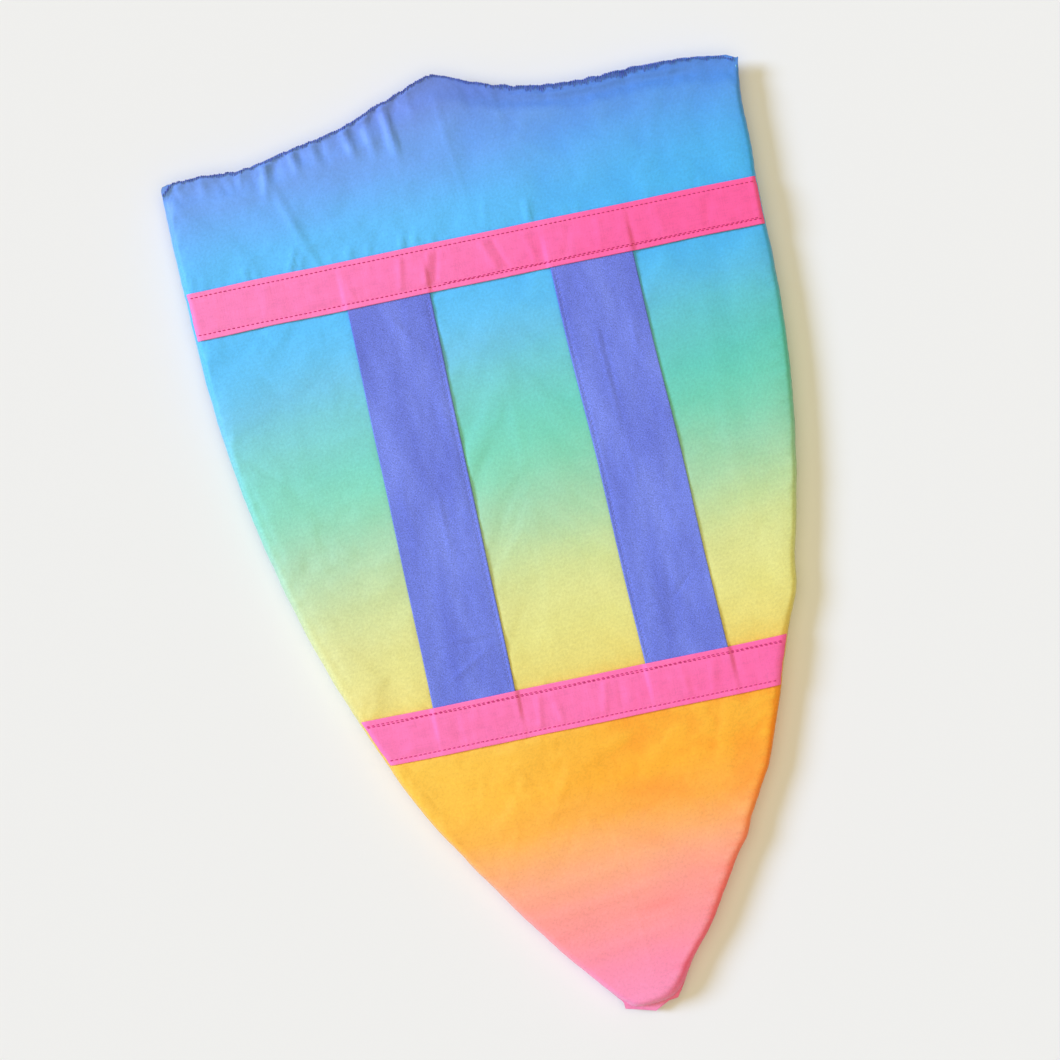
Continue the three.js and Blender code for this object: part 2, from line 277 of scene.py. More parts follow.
def foam_inset(x, y):
    """How far inside the foam's outline, which follows the side seams and rounds off above the tip."""
    insets = [(seam_line(y, side) - side * x) * slant(y) for side in (-1, 1)] + [y - TIP_Y - SKIRT]
    return -FOAM_ROUNDING * np.log(sum(np.exp(-inset / FOAM_ROUNDING) for inset in insets))


def looseness(x, y):
    """1 low down on the right, where the foam is narrower than the cover, and 0 elsewhere."""
    return smooth_step(PEAK_Y - LOOSE_DROP - y, 0, LOOSE_LENGTH) * smooth_step(x, -8, 12)


def seam_height(x, y):
    """Height of the line where the two panels meet, carried across the whole cover."""
    height = SEAM_Z + (TOP_SEAM_Z - SEAM_Z) * fading(top_line(x) - y, 14)
    near_tip = smooth_step(TIP_Y + TIP_SINK_START - y, 0, TIP_SINK_LENGTH)
    return height + (TIP_SEAM_Z - SEAM_Z) * near_tip + LOOSE_RISE * looseness(x, y)


def fullness(x, y):
    """0 at the cover's edges and 1 where it lies flat on the foam."""
    side = rounded(foam_inset(x, y), SHOULDER + (LOW_SHOULDER - SHOULDER) * looseness(x, y))
    return side * smooth_step(top_line(x) - y - TOP_LIP, -2, TOP_SLOPE)


def smooth_back(x, y):
    """Height of the back face without its wrinkles."""
    seam = seam_height(x, y)
    return seam + (THICKNESS - seam) * fullness(x, y)


def crease(x, y, start, end, width, height):
    """A ridge along a line, fading at both ends."""
    start, end = np.array(start), np.array(end)
    along = end - start
    length = np.hypot(*along)
    along = along / length
    s = (x - start[0]) * along[0] + (y - start[1]) * along[1]
    q = (x - start[0]) * -along[1] + (y - start[1]) * along[0]
    fade = np.clip(s / (0.2 * length), 0, 1) * np.clip((length - s) / (0.35 * length), 0, 1)
    return height * fade * bell(q, 0, width)


class Strip:
    """A strip of cloth's own frame: s runs along it and q across it, from its centre."""

    def __init__(self, centre, along, across):
        self.centre, self.along, self.across = centre, along, across

    def point(self, s, q):
        return tuple(self.centre[k] + s * self.along[k] + q * self.across[k] for k in (0, 1))

    def place(self, x, y):
        dx, dy = x - self.centre[0], y - self.centre[1]
        return dx * self.along[0] + dy * self.along[1], dx * self.across[0] + dy * self.across[1]


class Band(Strip):
    """A band's frame: s runs to the right from the shield's axis, and q up."""

    def __init__(self, drop):
        along = np.array([math.cos(BAND_TILT), math.sin(BAND_TILT)])
        super().__init__(np.array([0.0, PEAK_Y - drop]), along, np.array([-along[1], along[0]]))

    def ends(self, q, inset):
        """Where the band's line at q comes that near to the left and the right side seam."""
        found = []
        for side in (-1, 1):
            inner, outer = np.zeros_like(q), np.full_like(q, side * 2 * HALF_WIDTH)
            for _ in range(40):
                s = (inner + outer) / 2
                inside = side_inset(*self.point(s, q)) > inset
                inner, outer = np.where(inside, s, inner), np.where(inside, outer, s)
            found.append(inner)
        return found


BANDS = {name: Band(drop) for name, drop in BAND_DROPS.items()}


class Strap(Strip):
    """A strap's frame: s runs up it from its middle, and q to the right."""

    def __init__(self, upper_x, lower_x, stitch_side, seed):
        upper = self.edge_point(BANDS["upper_band"], upper_x, -BAND_WIDTH / 2)
        lower = self.edge_point(BANDS["lower_band"], lower_x, BAND_WIDTH / 2)
        length = np.hypot(*(upper - lower))
        up = (upper - lower) / length
        super().__init__((upper + lower) / 2, up, np.array([up[1], -up[0]]))
        self.half_length = length / 2
        self.reach = self.half_length + STRAP_TUCK
        self.stitch_row = stitch_side * (STRAP_WIDTH / 2 - STRAP_STITCH_INSET)
        self.seed = seed

    @staticmethod
    def edge_point(band, x, q):
        return np.array(band.point((x - band.across[0] * q) / band.along[0], q))


STRAP_FRAMES = {name: Strap(*facts) for name, facts in STRAPS.items()}


def on_strip(q, half, margin):
    """1 up to half a strip's width from its middle, and 0 past the margin beside it."""
    return smooth_step(half + margin - np.abs(q), 0, margin)


def covered(x, y):
    """1 where a band or a strap lies on the silk, 0 clear of them."""
    most = np.zeros_like(x)
    for band in BANDS.values():
        most = np.maximum(most, on_strip(band.place(x, y)[1], BAND_WIDTH / 2, BAND_PRESS))
    for strap in STRAP_FRAMES.values():
        s, q = strap.place(x, y)
        on = on_strip(q, STRAP_WIDTH / 2, STRAP_PRESS)
        most = np.maximum(most, np.where(np.abs(s) < strap.half_length + 5, on, 0))
    return most


# Folds pulled in by the top edge's sewing.
TOP_PUCKERS = [
    # x, length, lean, half width, height
    (-150, 10, 0, 2, 0.4), (-138, 14, 0.1, 2.2, 0.5), (-128, 14, 0.3, 1.6, -0.5),
    (-120, 8, 0.2, 1.2, -0.6), (-115, 12, -0.2, 1.4, 0.6), (-110, 9, 0.1, 1.2, -0.6),
    (-101, 24, -0.15, 2.2, 1), (-104, 62, 0.28, 2.2, 0.45), (-92, 13, -0.5, 1.4, -1),
    (-86, 15, 0.15, 1.8, 0.9), (-81, 11, 0.1, 1.3, -0.7), (-74, 13, 0.1, 1.6, 0.7),
    (-69, 16, 0.15, 1.4, -0.8), (-56, 19, 0.3, 1.8, 1.1), (-51, 22, 0.45, 1.5, -1.2),
    (-42, 28, 0.05, 2.2, 0.9), (-36, 28, 0.1, 1.7, -0.9), (-31, 34, 0.1, 1.8, 1.2),
    (-25, 18, 0.2, 1.6, -0.5), (-16, 18, 0.05, 1.8, 0.4), (16, 24, 0.05, 2.6, -0.35),
    (29, 30, 0.1, 3, 0.3), (58, 12, 0.1, 2, -0.25), (104, 12, 0.1, 2.4, -0.25), (128, 10, 0, 2, 0.25),
    (150, 14, 0, 2.6, -0.3),
]
# Small gathers that rise from the upper band's top edge into the silk.
BAND_GATHERS = [
    # s, length, lean, half width, height
    (-141, 6, 0.3, 1, 0.4), (-127, 9, 0.2, 1.1, 0.6), (-121, 7, 0.4, 1, 0.5), (-103, 15, 0.5, 1.4, 0.8),
    (-97, 10, 0.4, 1.1, 0.7), (-85, 9, -0.2, 1.1, 0.6), (-79, 7, 0.3, 1, 0.55), (-69, 9, 0.3, 1.1, 0.65),
    (-58, 8, 0.2, 1, 0.55), (-40, 10, 0.4, 1.2, 0.65), (-32, 12, 0.3, 1.3, 0.55), (-21, 7, 0, 1, 0.4),
    (8, 26, 0.2, 1.6, 0.3), (33, 16, 0.1, 1.4, 0.75), (60, 7, 0.2, 1.1, 0.3), (130, 7, 0.1, 1.1, 0.35),
]
# Long soft creases over the rest of the back: start and end as (x, drop), half width and height.
BACK_CREASES = [
    ((-2, 3), (4, 92), 1.5, 0.45), ((8, 8), (14, 80), 5, -0.4), ((22, 30), (40, 90), 6, 0.3),
    ((-100, 40), (-84, 92), 4, 0.3), ((120, 40), (100, 92), 6, 0.25), ((-118, 150), (-124, 260), 4, 0.2),
    ((4, 135), (-6, 330), 3, 0.16), ((118, 140), (112, 300), 5, 0.2), ((-8, 380), (-34, 420), 4, 0.45),
    ((24, 378), (-30, 402), 3, 0.4), ((50, 380), (22, 408), 4, 0.35), ((74, 376), (60, 410), 4, -0.3),
    ((0, 420), (4, 527), 1.4, 0.08), ((-64, 458), (30, 446), 4, 0.45), ((-54, 471), (36, 462), 3, 0.5),
    ((-46, 484), (32, 474), 3, -0.5), ((-38, 496), (28, 488), 2.8, 0.5),
]
PUCKER_GAIN, GATHER_GAIN = 1.7, 1.6

# The silk's own unevenness: size, stretch along x and y, wavelength and seed.
SILK_RIPPLES = [(0.12, 1, 1, 70, 3), (0.04, 1, 0.6, 24, 5), (0.012, 1, 1, 9, 8)]
SIDE_PUCKERS = [(0.2, 8.0, 31), (0.1, 3.4, 33)]
BAND_PUCKERS = [(0.14, 13, 21), (0.1, 5.5, 22)]
BAND_PULL = 0.3  # how far the bands' stitches pull the silk down
# The top edge is rolled on the right: bumps by the distance below it.
TOP_ROLL = [(5.0, 1.6, 0.7), (8.4, 1.8, -0.5)]


def silk_creases():
    """The start, end, half width and height of every crease in the back."""
    upper = BANDS["upper_band"]
    for x, length, lean, width, height in TOP_PUCKERS:
        top = top_line(np.float64(x)) + 3
        yield (x, top), (x + lean * length, top - length - 4), width, PUCKER_GAIN * height
    for s, length, lean, width, height in BAND_GATHERS:
        start = upper.point(s, BAND_WIDTH / 2 - 3)
        yield start, upper.point(s + lean * length, BAND_WIDTH / 2 + length), width, GATHER_GAIN * height
    for (x0, drop0), (x1, drop1), width, height in BACK_CREASES:
        yield (x0, PEAK_Y - drop0), (x1, PEAK_Y - drop1), width, height


def back_relief(x, y):
    """The silk's own hills and hollows on the back face."""
    relief = ripples(x, y, SILK_RIPPLES) + window(x, 26, 50, 130, 150) * bumps(top_line(x) - y, TOP_ROLL)
    for facts in silk_creases():
        relief = relief + crease(x, y, *facts)
    for band in BANDS.values():
        s, q = band.place(x, y)
        relief = relief + fading(np.abs(q) - BAND_WIDTH / 2, 5.0) * (waves(s, BAND_PUCKERS) - BAND_PULL)
    return relief + waves(y, SIDE_PUCKERS) * bell(side_inset(x, y), 4, 4.5)


def settled(relief, x, y):
    """Keeps a relief off the edges, and pressed flat under the bands and straps."""
    hidden = covered(x, y)
    low = DEEPEST * np.tanh(np.minimum(relief, 0) / DEEPEST)
    open_relief = np.maximum(relief, 0) * (1 - hidden) + low - 0.1 * hidden
    inset = np.minimum(side_inset(x, y), np.minimum(top_line(x) - y, y - bottom_line(x)))
    return open_relief * np.clip(inset / EDGE_CALM, 0, 1)


# ---- cloth simulation

SIM_COLUMNS, SIM_ROWS = 121, 190
SIM_FRAMES = 16
SIM_GROWTH = 0.03  # how much longer the fullest silk is than the stitches that hold it
SIM_UNEVEN = 0.15  # the small random heights that it starts to buckle from
BROADEST = 40  # rounds of averaging that find the broad swell
WRINKLE_SHARE = 0.5
MOST_WRINKLE = 0.6
CLOTH_SETTINGS = {
    "quality": 6, "mass": 0.02, "air_damping": 2.0,
    "tension_stiffness": 40, "compression_stiffness": 40, "shear_stiffness": 10, "bending_stiffness": 0.3,
    "vertex_group_mass": "held", "vertex_group_shrink": "taut", "shrink_min": -SIM_GROWTH, "shrink_max": 0.0,
}


def silk_fullness(x, y):
    """How much spare silk the sewing has gathered in, from 0 to 1. The right half is sewn flatter."""
    left = 0.3 + 0.7 * smooth_step(20 - x, 0, 60)
    total = 0.12 + 0.9 * left * fading(top_line(x) - y, 22) + 0.1 * fading(y - TIP_Y, 70)
    for band in BANDS.values():
        _, q = band.place(x, y)
        total = total + 0.5 * left * fading(q - BAND_WIDTH / 2, 14) + 0.15 * fading(-q - BAND_WIDTH / 2, 14)
    return np.clip(total, 0, 1)


def spline_weights(places, count):
    """Catmull-Rom weights of count even samples over 0 to 1, a row for each place."""
    position = np.clip(places, 0, 1) * (count - 1)
    first = np.clip(np.floor(position).astype(int), 0, count - 2)
    t = position - first
    shares = (-t + 2 * t**2 - t**3, 2 - 5 * t**2 + 3 * t**3, t + 4 * t**2 - 3 * t**3, t**3 - t**2)
    weights = np.zeros((len(places), count))
    for step, share in enumerate(shares):
        np.add.at(weights, (np.arange(len(places)), np.clip(first + step - 1, 0, count - 1)), share / 2)
    return weights


def sewn_cloth(points, sewn, spare, silk):
    """A grid of cloth, held where it is sewn and ready to grow where silk is spare."""
    cloth = add_mesh("cover_cloth", points, grid_faces(SIM_ROWS, SIM_COLUMNS), silk)
    held = cloth.vertex_groups.new(name="held")
    held.add(np.flatnonzero(sewn.ravel()).tolist(), 1.0, "REPLACE")
    taut = cloth.vertex_groups.new(name="taut")
    for index, share in enumerate(spare.ravel().tolist()):
        taut.add([index], 1 - share, "REPLACE")
    modifier = cloth.modifiers.new("cloth", "CLOTH")
    for name, value in CLOTH_SETTINGS.items():
        setattr(modifier.settings, name, value)
    modifier.settings.effector_weights.gravity = 0
    modifier.collision_settings.use_collision = False
    modifier.collision_settings.use_self_collision = False
    modifier.point_cache.frame_start, modifier.point_cache.frame_end = 1, SIM_FRAMES
    return cloth


def simulated_heights(cloth):
    """Runs the simulation, removes the cloth and returns the heights that its points reached."""
    for number in range(1, SIM_FRAMES + 1):
        bpy.context.scene.frame_set(number)
    moved = cloth.evaluated_get(bpy.context.evaluated_depsgraph_get()).data
    places = np.empty(len(moved.vertices) * 3)
    moved.vertices.foreach_get("co", places)
    bpy.data.objects.remove(cloth)
    bpy.context.scene.frame_set(1)
    return places.reshape(SIM_ROWS, SIM_COLUMNS, 3)[..., 2] / MM


def without_swell(rise):
    """Takes out the broad swell, which the foam underneath doesn't allow."""
    broad = rise
    for _ in range(BROADEST):
        padded = np.pad(broad, 1, mode="edge")
        broad = (padded[:-2, 1:-1] + padded[2:, 1:-1] + padded[1:-1, :-2] + padded[1:-1, 2:]) / 4
    return rise - broad


def simulate_wrinkles(silk):
    """Lets a slightly too large back panel, sewn to its seams, buckle. Returns the wrinkles as a function."""
    a, b = np.meshgrid(np.linspace(-1, 1, SIM_COLUMNS), np.linspace(0, 1, SIM_ROWS))
    x, y = back_plan(a, b)
    z = smooth_back(x, y)
    inside = (np.abs(a) < 1) & (b > 0) & (b < 1)
    uneven = np.random.default_rng(7).uniform(-SIM_UNEVEN, SIM_UNEVEN, z.shape) * inside
    sewn = ~inside
    for band in BANDS.values():
        sewn |= np.abs(band.place(x, y)[1]) < BAND_ROW
    spare = silk_fullness(x, y)
    cloth = sewn_cloth(grid(x, y, z + uneven), sewn, spare, silk)
    rise = without_swell(simulated_heights(cloth) - z)
    rise = rise * WRINKLE_SHARE * (0.05 + 0.95 * spare) * smooth_step(y - TIP_Y, 60, 150)
    rise = MOST_WRINKLE * np.tanh(rise / MOST_WRINKLE)

    def wrinkles(across, down):
        columns = spline_weights((across[0] + 1) / 2, SIM_COLUMNS)
        rows = spline_weights(down[:, 0], SIM_ROWS)
        return rows @ rise @ columns.T

    return wrinkles


# ---- meshes

def add_mesh(name, points, faces, material, rest=None):
    """Makes an object of points in millimetres. Its material reads each point's place from rest_mm."""
    points = np.asarray(points, float).reshape(-1, 3)
    mesh = bpy.data.meshes.new(name)
    mesh.from_pydata((points * MM).tolist(), [], faces)
    mesh.validate()
    mesh.materials.append(material)
    mesh.polygons.foreach_set("use_smooth", [True] * len(mesh.polygons))
    kept = points if rest is None else rest
    attribute = mesh.attributes.new("rest_mm", "FLOAT_VECTOR", "POINT")
    attribute.data.foreach_set("vector", kept.astype(np.float32).ravel())
    mesh.update()
    piece = bpy.data.objects.new(name, mesh)
    bpy.context.scene.collection.objects.link(piece)
    return piece


def grid(x, y, z):
    """The points of a grid, from their coordinates."""
    return np.stack([x, y, z], axis=2)


def grid_faces(rows, columns, start=0, flip=False):
    index = np.arange(rows * columns).reshape(rows, columns) + start
    a, b, c, d = index[:-1, :-1], index[1:, :-1], index[1:, 1:], index[:-1, 1:]
    order = (a, d, c, b) if flip else (a, b, c, d)
    return np.stack([corner.ravel() for corner in order], axis=1).tolist()


def rim_faces(rows, columns):
    """Joins the edge of a grid to the edge of a second one behind it."""
    index = np.arange(rows * columns).reshape(rows, columns)
    loop = np.concatenate([index[0, :], index[1:, -1], index[-1, -2::-1], index[-2:0:-1, 0]])
    after = np.roll(loop, -1)
    behind = rows * columns
    return np.stack([loop + behind, after + behind, after, loop], axis=1).tolist()


def shell(outer, inner):
    """A closed sheet of two grids. The outer one faces up where rows run down and columns to the right."""
    rows, columns = outer.shape[:2]
    faces = grid_faces(rows, columns) + grid_faces(rows, columns, rows * columns, flip=True)
    return np.concatenate([outer.reshape(-1, 3), inner.reshape(-1, 3)]), faces + rim_faces(rows, columns)


def grid_normals(points):
    normal = np.cross(np.gradient(points, axis=0), np.gradient(points, axis=1))
    return normal / np.maximum(np.linalg.norm(normal, axis=2, keepdims=True), 1e-9)


def stations(length, first, largest, growth=1.16):
    """Distances from 0 to length whose steps grow from first to largest, the same from both ends."""
    steps = [first]
    while sum(steps) < length / 2:
        steps.append(min(largest, steps[-1] * growth))
    half = np.concatenate([[0], np.cumsum(steps)])
    half = half * (length / 2) / half[-1]
    return np.concatenate([half, length - half[-2::-1]])


ACROSS = stations(2 * HALF_WIDTH, 0.3, 1.9) / HALF_WIDTH - 1
DOWN = stations(PEAK_Y - TIP_Y, 0.35, 1.9) / (PEAK_Y - TIP_Y)


def cover_rows(a, b):
    """For a from -1 to 1 across the cover and b from 0 to 1 down: the side, y, and y where the row ends."""
    side = np.where(a < 0, -1, 1)
    top, tip = of_side(CORNERS, a < 0), np.where(a < 0, -TIP_CORNERS[0][0], TIP_CORNERS[-1][0])
    y, edge_y = [(1 - b) * top_line(share * top) + b * bottom_line(share * tip) for share in (a, side)]
    return side, y, edge_y


def back_plan(a, b):
    side, y, edge_y = cover_rows(a, b)
    return a * seam_line(edge_y, side), y


def make_back(silk, wrinkles):
    a, b = np.meshgrid(ACROSS, DOWN)
    x, y = back_plan(a, b)
    relief = settled(back_relief(x, y) + wrinkles(a, b), x, y)
    back = grid(x, y, smooth_back(x, y) + relief)
    return add_mesh("back_silk", *shell(back, back - SILK * grid_normals(back)), silk)


def make_front(silk, wrinkles):
    """The front panel rounds the sides from the seam down to the face that the shield lies on."""
    a, b = np.meshgrid(ACROSS, DOWN)
    side, y, edge_y = cover_rows(a, b)
    reach = side_line(edge_y, side)
    first = np.arccos(1 - (reach - seam_line(edge_y, side)) / FRONT_RADIUS)
    from_edge = (1 - np.abs(a)) * HALF_WIDTH
    angle = first - (first + math.pi / 2) * np.clip(from_edge / FRONT_WRAP, 0, 1)
    radius = np.minimum(FRONT_RADIUS, 0.3 * reach)
    flat_share = 1 - np.clip(from_edge - FRONT_WRAP, 0, None) / (HALF_WIDTH - FRONT_WRAP)
    x = side * (reach - radius * (1 - np.cos(angle)))
    x = np.where(from_edge < FRONT_WRAP, x, side * (reach - radius) * flat_share)
    side_height = (1 + np.sin(angle)) / (1 + np.sin(first))
    ends = smooth_step(top_line(x) - y, 0, 11) * smooth_step(y - bottom_line(x) - SKIRT + 1, 0, 14)
    height = seam_height(x, y) * (1 - (1 - side_height) * ends)
    from_end = np.minimum(b, 1 - b) * 500
    relief = 0.5 * wrinkles(-a, b) + 0.25 * row_ripple(edge_y, 9, 51) * bell(from_edge, 7, 5)
    relief = relief * np.clip(np.minimum(from_edge, from_end) / EDGE_CALM, 0, 1)
    front = grid(x, y, np.maximum(height - relief, 0.0))
    return add_mesh("front_silk", *shell(front + SILK * grid_normals(front), front), silk)


def row_dimple(q, row, s, depth=0.2):
    """The groove that a row of stitches pulls into cloth, deepest where a stitch goes down."""
    beat = 0.7 + 0.3 * np.cos(2 * math.pi * s / STITCH_PITCH)
    return -depth * beat * bell(q, row, 0.8)


def strip_faces(strip, s, q, half, wander, top, bottom, rounding):
    """A strip's upper and lower face, with rounded long edges that wander a little."""
    x, y = strip.point(s, q + wander * np.abs(q) / half)
    middle = (top + bottom) / 2
    edge = rounded(half - np.abs(q), rounding)
    upper = grid(x, y, middle + (top - middle) * edge + FACE_LIFT)
    return upper, grid(x, y, middle + (bottom - middle) * edge - FACE_LIFT)


# Places along each band where its cloth is creased across, with the crease's lean, half width and height.
BAND_CREASES = {
    "upper_band": [
        (-118, 0.1, 3, 0.22), (-72, -0.2, 2.2, 0.25), (-42, 0.15, 1.8, 0.4), (-27, 0.25, 2.2, 0.45),
        (-22, 0.25, 1.6, -0.35), (8, -0.35, 2.4, 0.4), (14, -0.35, 1.8, -0.35), (31, -0.2, 2.4, 0.3),
        (52, 0.3, 2.6, -0.25), (70, 0.1, 2.4, 0.25), (104, -0.2, 3.2, 0.25), (131, 0.2, 3, -0.25),
    ],
    "lower_band": [
        (-96, 0.1, 3, 0.2), (-70, 0, 2.4, -0.2), (-24, 0.1, 2, 0.35), (-14, -0.2, 2.2, 0.25),
        (13, 0.15, 2.4, 0.35), (22, 0, 2.4, -0.25), (58, -0.1, 2.2, 0.25), (74, 0.1, 2.6, 0.2),
    ],
}
# Size, stretch along and across, wavelength and seed.
BAND_RIPPLES = [(0.14, 1, 0.4, 20, 61), (0.07, 1, 0.7, 7, 62)]
CREASE_GAIN = 1.3


def tuck_share(under):
    """How thick a strap's tucked end still is, that far under its band."""
    return 1 - 0.85 * smooth_step(under, 10, 21)


def strap_bump(band, s, q):
    """How far a band is lifted where it lies over the straps' ends."""
    lift = 0
    for strap in STRAP_FRAMES.values():
        up, across = strap.place(*band.point(s, q))
        under = np.abs(up) - strap.half_length
        on = 0.13 * smooth_step(BAND_WIDTH - under, 0, 3) + 0.87 * tuck_share(under)
        on = on * on_strip(across, STRAP_WIDTH / 2 - 0.7, 3.0)
        lift = np.maximum(lift, on * (STRAP_THICKNESS + STRAP_GAP))
    return lift


def band_bottom(name, s, q):
    band = BANDS[name]
    return smooth_back(*band.point(s, q)) + BAND_GAP + strap_bump(band, s, q)


def band_top(name, s, q):
    """Height of a band's upper face, which is a little fuller between its stitches."""
    between = window(q, -BAND_ROW, 4 - BAND_ROW, BAND_ROW - 4, BAND_ROW)
    full = 0.16 + ripples(s, q, BAND_RIPPLES)
    for place, lean, width, rise in BAND_CREASES[name]:
        full = full + CREASE_GAIN * rise * bell(s, place + lean * q, width)
    height = band_bottom(name, s, q) + BAND_THICKNESS + 0.04 * ripple(s, q, 10, 63)
    for row, seed in ((BAND_ROW, 64), (-BAND_ROW, 65)):
        full = full + 0.09 * row_ripple(s, 5.5, seed) * fading(np.abs(q - row), 4)
        height = height + row_dimple(q, row, s)
    return height + between * full


def make_band(name, material):
    band = BANDS[name]
    q_row = BAND_WIDTH / 2 - stations(BAND_WIDTH, 0.12, 0.7, 1.3)
    left, right = band.ends(q_row, BAND_INSET)
    share = stations(1.0, 0.0015, 0.0026, 1.1)
    s = left[:, None] + (right - left)[:, None] * share
    q = np.repeat(q_row[:, None], len(share), axis=1)
    wander = 0.25 * ripple(s, 0 * s, 60, 66)
    top, bottom = band_top(name, s, q), band_bottom(name, s, q)
    faces = strip_faces(band, s, q, BAND_WIDTH / 2, wander, top, bottom, 0.45)
    mark = 0.0 if name == "upper_band" else 1.0
    rest = grid(s, q, 0 * s + mark)
    return add_mesh(name + "_cotton", *shell(*faces), material, np.stack([rest, rest]))


# Size, stretch along and across, wavelength, and what is added to the strap's seed.
STRAP_RIPPLES = [(0.16, 0.35, 1, 17, 0), (0.07, 0.4, 1, 7, 1), (0.12, 1, 0.4, 45, 2)]
# Creases pressed into the straps: start and end as (across, up) from the strap's middle, half width, height.
STRAP_CREASES = {
    "left": [
        ((-3, 106), (15, 78), 2, 0.3), ((4, 9), (4.5, -42), 1.6, 0.28), ((5.5, 5), (18, 3), 1.3, 0.22),
        ((6, -9), (16, -11), 1.5, -0.2), ((-8, -77.5), (20, -79), 1.1, 0.4),
        ((-7, -81.5), (18, -82), 1.1, -0.35), ((-14, -102), (20, -83), 1.8, 0.35),
        ((12, 60), (14, 20), 2.4, -0.2), ((-16, 40), (-13, -30), 3, 0.15),
    ],
    "right": [
        ((-6.5, 80), (-6, 12), 1.4, 0.24), ((-3.5, 78), (-3.5, 20), 1.2, -0.24),
        ((14, 80), (13.5, 54), 1.6, 0.26), ((-4, 13), (-4, -24), 1.4, 0.2),
        ((-13, -66), (-5, -95), 2, 0.25), ((0, -80), (15, -67), 1.6, -0.3),
        ((8, -20), (11, -60), 2.6, 0.16), ((-12, 100), (10, 92), 2, 0.3),
        ((2, -50), (-2, -100), 2.4, -0.2),
    ],
}


def strap_bottom(name, s, q):
    return smooth_back(*STRAP_FRAMES[name].point(s, q)) + STRAP_GAP


def strap_top(name, s, q):
    """Height of a strap's upper face at rest, wrinkled where no band holds it."""
    strap = STRAP_FRAMES[name]
    rise = ripples(s, q, STRAP_RIPPLES, strap.seed)
    for start, end, width, height in STRAP_CREASES[name]:
        rise = rise + crease(q, s, start, end, width, height)
    rise = rise * smooth_step(np.abs(q - strap.stitch_row), 0.8, 4)
    rise = rise + row_dimple(q, strap.stitch_row, s, 0.42)
    free = smooth_step(strap.half_length + 1 - np.abs(s), 0, 6)
    thickness = STRAP_THICKNESS * tuck_share(np.abs(s) - strap.half_length)
    return strap_bottom(name, s, q) + thickness + free * rise


def make_strap_halves(name, material):
    """A strap made whole, then parted at its middle row into an upper and a lower half."""
    strap = STRAP_FRAMES[name]
    half_row = stations(strap.reach, 0.6, 0.9, 1.2)
    s_row = np.concatenate([half_row[::-1], -half_row[1:]])
    q_row = stations(STRAP_WIDTH, 0.14, 0.8, 1.3) - STRAP_WIDTH / 2
    s, q = np.meshgrid(s_row, q_row, indexing="ij")
    wander = 0.35 * ripple(s, 0 * s, 90, strap.seed + 3)
    top, bottom = strap_top(name, s, q), strap_bottom(name, s, q)
    upper, lower = strip_faces(strap, s, q, STRAP_WIDTH / 2, wander, top, bottom, 0.55)
    normals = grid_normals(upper)
    rest = grid(q, s, 0 * s)
    cut = len(half_row) - 1
    halves = {}
    for part, rows in (("upper", slice(0, cut + 1)), ("lower", slice(cut, None))):
        points, faces = shell(upper[rows], lower[rows])
        both = np.stack([rest[rows], rest[rows]])
        piece = add_mesh(f"{name}_strap_{part}_half", points, faces, material, both)
        up = normals[rows].reshape(-1, 3)
        piece.data.normals_split_custom_set_from_vertices(np.concatenate([up, -up]).tolist())
        halves[part] = piece
    return halves


def threads(name, paths, radius, material):
    """One object of many short threads with thin ends. paths has a row of points for each thread."""
    count, length = paths.shape[:2]
    tangent = np.gradient(paths, axis=1)
    tangent /= np.linalg.norm(tangent, axis=2, keepdims=True)
    side = np.cross(tangent, [0.0, 0.0, 1.0])
    upright = np.linalg.norm(side, axis=2, keepdims=True) < 1e-3
    side = np.where(upright, [1.0, 0.0, 0.0], side)
    side /= np.linalg.norm(side, axis=2, keepdims=True)
    up = np.cross(side, tangent)
    taper = (1 - np.abs(np.linspace(-1, 1, length)) ** 5) * 0.65 + 0.35
    angle = np.arange(THREAD_SIDES)[:, None] * 2 * math.pi / THREAD_SIDES
    ring = np.cos(angle) * side[:, :, None, :] + np.sin(angle) * up[:, :, None, :]
    points = paths[:, :, None, :] + radius * taper[:, None, None] * ring
    index = np.arange(count * length * THREAD_SIDES).reshape(count, length, THREAD_SIDES)
    after = np.roll(index, -1, axis=2)
    walls = np.stack([index[:, :-1], after[:, :-1], after[:, 1:], index[:, 1:]], axis=3)
    caps = np.concatenate([index[:, 0, ::-1], index[:, -1]])
    return add_mesh(name, points, walls.reshape(-1, 4).tolist() + caps.tolist(), material)


def stitch_paths(first, last, place, seed, lift=0.1):
    """The stitches of a row from first to last along it. place(s, drift) gives a point on the cloth."""
    random = np.random.default_rng(seed)
    count = int((last - first) / STITCH_PITCH)
    starts = first + STITCH_PITCH * np.arange(count) + random.uniform(-0.12, 0.12, count)
    along = np.linspace(0, 1, 7)
    s = starts[:, None] + (STITCH_PITCH - STITCH_LENGTH) / 2 + STITCH_LENGTH * along
    tilt = random.uniform(-0.08, 0.08, count)[:, None] * (along - 0.5)
    points = place(s, random.uniform(-0.06, 0.06, count)[:, None] + tilt)
    points[..., 2] += (STITCH_SINK + lift) * np.sin(math.pi * along) ** 0.6 - STITCH_SINK
    return points


def band_stitches(name, row, q_row, start, wander, seed, material):
    """A row of stitches that runs along a band from start, or from the left side, to the right side."""
    band = BANDS[name]
    left, right = band.ends(np.array([q_row]), STITCH_END)

    def place(s, drift):
        q = q_row + drift + wander * row_ripple(s, 45, seed)
        return grid(*band.point(s, q), band_top(name, s, q))

    paths = stitch_paths(max(start, left[0]), right[0], place, seed)
    return threads(f"{name}_{row}_stitches", paths, THREAD_RADIUS, material)


